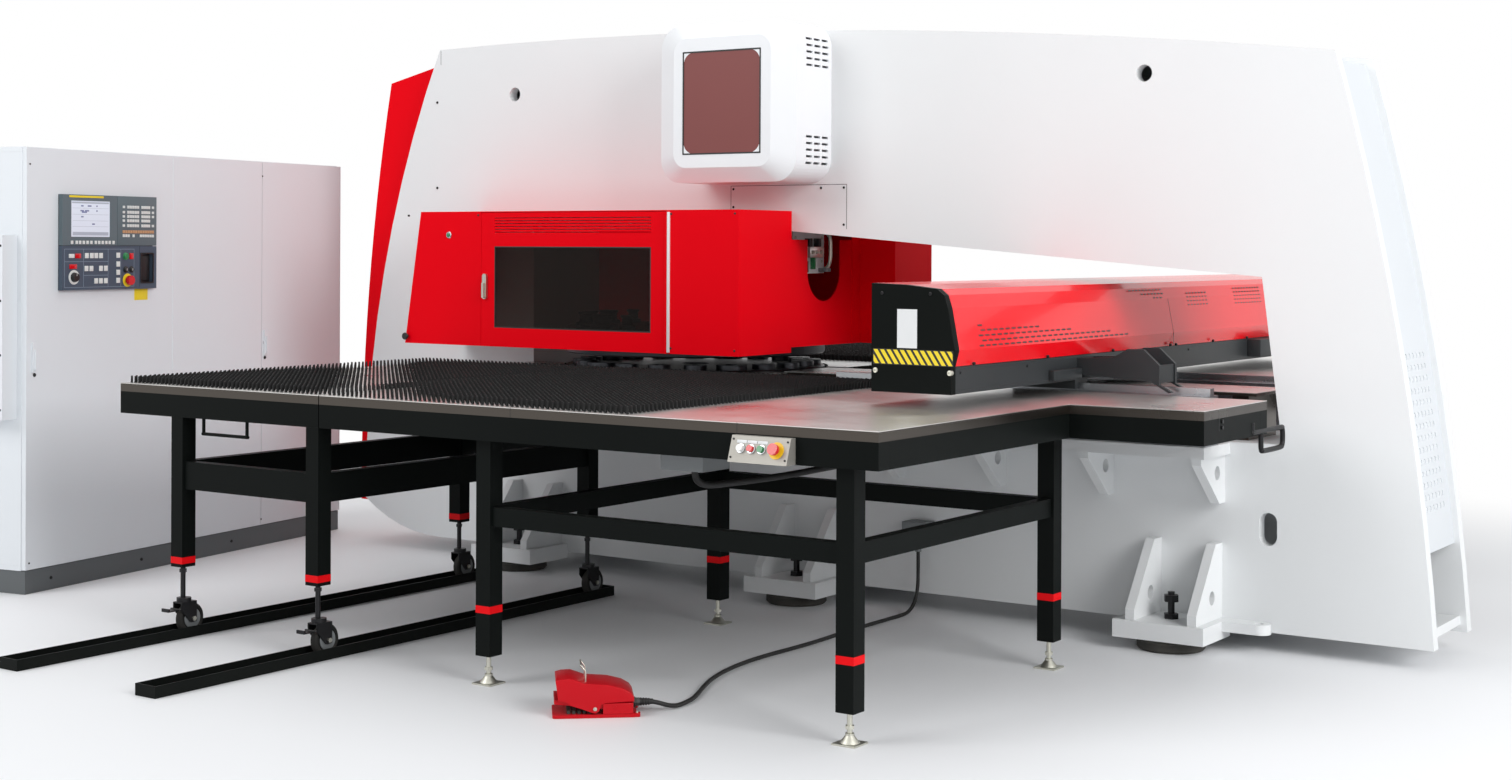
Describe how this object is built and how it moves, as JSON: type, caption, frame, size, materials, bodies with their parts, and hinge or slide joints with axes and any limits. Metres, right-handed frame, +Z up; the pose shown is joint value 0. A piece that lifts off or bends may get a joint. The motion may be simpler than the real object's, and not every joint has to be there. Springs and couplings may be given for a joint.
{
  "type": "cnc turret punch press",
  "caption": "Closed-frame turret punch press with guarded tool turret, clamp crossbeam, brush tables with a roll-out section, foot switch and control cabinet.",
  "frame": {"origin": "on the floor under the middle of the machine's footprint, cabinet and floor channels included", "axes": "+X along the frame towards its rear, +Y across the frame away from the operator's table, +Z up"},
  "size_m": [6.011, 5.201, 2.3161],
  "materials": {
    "white_paint": "semi-gloss white paint",
    "white_hood": "moulded white",
    "red_paint": "gloss red paint",
    "dark_red_panel": "dark red translucent panel",
    "black_paint": "satin black paint",
    "black_steel": "blackened steel",
    "black_rubber": "black rubber",
    "smoked_window": "smoked clear plastic",
    "zinc_steel": "zinc-plated steel",
    "ground_steel": "ground steel",
    "turret_steel": "blackened turned steel",
    "tool_steel": "dark tool steel",
    "table_steel": "brushed steel sheet",
    "black_bristle": "black nylon bristle",
    "white_button": "white button",
    "red_button": "red button",
    "green_button": "green button",
    "grey_box": "grey box",
    "dark_grey_steel": "dark grey paint",
    "red_cast": "red cast housing",
    "black_plastic": "black plastic",
    "black_cord": "black cord sheath",
    "cabinet_white": "textured white paint",
    "grey_plastic": "grey plastic panel",
    "screen_glass": "lit display"
  },
  "bodies": {
    "machine": {"near_side_plate": "white_paint", "far_side_plate": "white_paint", "frame_webs": "white_paint", "nose_cover": "red_paint", "rear_cover": "white_paint", "motor_housing": "white_hood", "motor_window": "dark_red_panel", "guide_ledges": "white_paint", "foot_brackets": "white_paint", "foot_pads": "black_rubber", "jack_bolts": "black_steel", "turret_guard": "red_paint", "far_guard": "red_paint", "turret_spindles": "ground_steel", "centre_table": "table_steel", "fixed_table_frame": "black_paint", "fixed_table_top": "table_steel", "fixed_table_brushes": "black_bristle", "levelling_feet": "zinc_steel", "far_table_frame": "black_paint", "far_table_top": "table_steel", "button_box": "zinc_steel", "junction_box": "grey_box", "floor_channels": "black_paint", "guide_rails": "ground_steel", "pedal_base": "red_cast", "pedal_cord": "black_cord", "cabinet_body": "cabinet_white"},
    "upper_turret": {"upper_turret": "turret_steel", "punch_tools": "tool_steel"},
    "lower_turret": {"lower_turret": "turret_steel"},
    "striker": {"striker": "ground_steel"},
    "guard_door": {"guard_door": "red_paint", "door_glass": "smoked_window"},
    "door_latch": {"door_latch": "zinc_steel"},
    "crossbeam": {"crossbeam": "dark_grey_steel", "crossbeam_cover": "red_paint", "crossbeam_ends": "black_paint"},
    "carriage": {"carriage": "dark_grey_steel"},
    "clamp_jaws": {"clamp_jaws": "ground_steel"},
    "roll_table": {"roll_table_frame": "black_paint", "roll_table_top": "table_steel", "roll_table_brushes": "black_bristle", "caster_forks": "black_steel"},
    "caster_wheel_1": {"caster_wheel_1": "black_rubber"},
    "caster_wheel_2": {"caster_wheel_2": "black_rubber"},
    "caster_wheel_3": {"caster_wheel_3": "black_rubber"},
    "caster_wheel_4": {"caster_wheel_4": "black_rubber"},
    "brake_pedal_1": {"brake_pedal_1": "black_steel"},
    "brake_pedal_2": {"brake_pedal_2": "black_steel"},
    "start_button": {"start_button": "white_button"},
    "stop_button": {"stop_button": "red_button"},
    "reset_button": {"reset_button": "green_button"},
    "table_estop": {"table_estop": "red_button"},
    "pedal_treadle": {"pedal_treadle": "black_plastic"},
    "cabinet_door_1": {"cabinet_door_1": "cabinet_white", "control_panel": "grey_plastic", "panel_screen": "screen_glass"},
    "cabinet_door_2": {"cabinet_door_2": "cabinet_white"},
    "panel_estop": {"panel_estop": "red_button"}
  },
  "joints": [
    {"name": "upper_turret_spin", "type": "hinge", "parent": "machine", "child": "upper_turret", "pos_m": [-0.2135, 0.3485, 1.012], "axis": [0, 0, 1], "continuous": true},
    {"name": "lower_turret_spin", "type": "hinge", "parent": "machine", "child": "lower_turret", "pos_m": [-0.2135, 0.3485, 0.845], "axis": [0, 0, 1], "continuous": true},
    {"name": "striker_stroke", "type": "slide", "parent": "machine", "child": "striker", "axis": [0, 0, -1], "range_m": [0, 0.038]},
    {"name": "guard_door_swing", "type": "hinge", "parent": "machine", "child": "guard_door", "pos_m": [0.0835, -0.2615, 1.27], "axis": [0, 0, 1], "range_deg": [0, 110]},
    {"name": "door_latch_turn", "type": "hinge", "parent": "guard_door", "child": "door_latch", "pos_m": [-0.8795, -0.2695, 1.236], "axis": [0, 1, 0], "range_deg": [0, 90]},
    {"name": "crossbeam_slide", "type": "slide", "parent": "machine", "child": "crossbeam", "axis": [1, 0, 0], "range_m": [-0.85, 0.45]},
    {"name": "carriage_slide", "type": "slide", "parent": "crossbeam", "child": "carriage", "axis": [0, 1, 0], "range_m": [-1.2, 1.2]},
    {"name": "clamp_open", "type": "hinge", "parent": "carriage", "child": "clamp_jaws", "pos_m": [1.4185, 0.6735, 0.964], "axis": [0, 1, 0], "range_deg": [0, 8]},
    {"name": "roll_table_slide", "type": "slide", "parent": "machine", "child": "roll_table", "axis": [0, -1, 0], "range_m": [0, 0.66]},
    {"name": "caster_roll_1", "type": "hinge", "parent": "roll_table", "child": "caster_wheel_1", "pos_m": [-0.8735, -1.8465, 0.0603], "axis": [1, 0, 0], "range_deg": [-5, 700]},
    {"name": "caster_roll_2", "type": "hinge", "parent": "roll_table", "child": "caster_wheel_2", "pos_m": [-0.1815, -1.8465, 0.0603], "axis": [1, 0, 0], "range_deg": [-5, 700]},
    {"name": "caster_roll_3", "type": "hinge", "parent": "roll_table", "child": "caster_wheel_3", "pos_m": [-0.8735, -0.3935, 0.0603], "axis": [1, 0, 0], "range_deg": [-5, 700]},
    {"name": "caster_roll_4", "type": "hinge", "parent": "roll_table", "child": "caster_wheel_4", "pos_m": [-0.1815, -0.3935, 0.0603], "axis": [1, 0, 0], "range_deg": [-5, 700]},
    {"name": "brake_press_1", "type": "hinge", "parent": "roll_table", "child": "brake_pedal_1", "pos_m": [-0.8735, -1.907, 0.0983], "axis": [1, 0, 0], "range_deg": [0, 20]},
    {"name": "brake_press_2", "type": "hinge", "parent": "roll_table", "child": "brake_pedal_2", "pos_m": [-0.1815, -1.907, 0.0983], "axis": [1, 0, 0], "range_deg": [0, 20]},
    {"name": "start_press", "type": "slide", "parent": "machine", "child": "start_button", "axis": [0, 0.9511, -0.309], "range_m": [0, 0.004], "stiffness_N_per_m": 300},
    {"name": "stop_press", "type": "slide", "parent": "machine", "child": "stop_button", "axis": [0, 0.9511, -0.309], "range_m": [0, 0.004], "stiffness_N_per_m": 300},
    {"name": "reset_press", "type": "slide", "parent": "machine", "child": "reset_button", "axis": [0, 0.9511, -0.309], "range_m": [0, 0.004], "stiffness_N_per_m": 300},
    {"name": "table_estop_press", "type": "slide", "parent": "machine", "child": "table_estop", "axis": [0, 0.9511, -0.309], "range_m": [0, 0.006]},
    {"name": "treadle_press", "type": "hinge", "parent": "machine", "child": "pedal_treadle", "pos_m": [1.13178, -1.91214, 0.03], "axis": [0.6561, -0.7547, 0], "range_deg": [0, 7], "stiffness_Nm_per_rad": 8, "springref_deg": -8.59},
    {"name": "cabinet_door_1_swing", "type": "hinge", "parent": "machine", "child": "cabinet_door_1", "pos_m": [-2.20247, -0.83067, 0.95], "axis": [0, 0, 1], "range_deg": [0, 110]},
    {"name": "cabinet_door_2_swing", "type": "hinge", "parent": "machine", "child": "cabinet_door_2", "pos_m": [-2.41404, 0.37288, 0.95], "axis": [0, 0, 1], "range_deg": [0, 40]},
    {"name": "panel_estop_press", "type": "slide", "parent": "cabinet_door_1", "child": "panel_estop", "axis": [-0.9849, -0.1731, 0], "range_m": [0, 0.006]}
  ],
  "couplings": [
    {"joint": "lower_turret_spin", "follows": "upper_turret_spin", "ratio": 1},
    {"joint": "caster_roll_1", "follows": "roll_table_slide", "rad_per_m": 18.182},
    {"joint": "caster_roll_2", "follows": "roll_table_slide", "rad_per_m": 18.182},
    {"joint": "caster_roll_3", "follows": "roll_table_slide", "rad_per_m": 18.182},
    {"joint": "caster_roll_4", "follows": "roll_table_slide", "rad_per_m": 18.182}
  ]
}
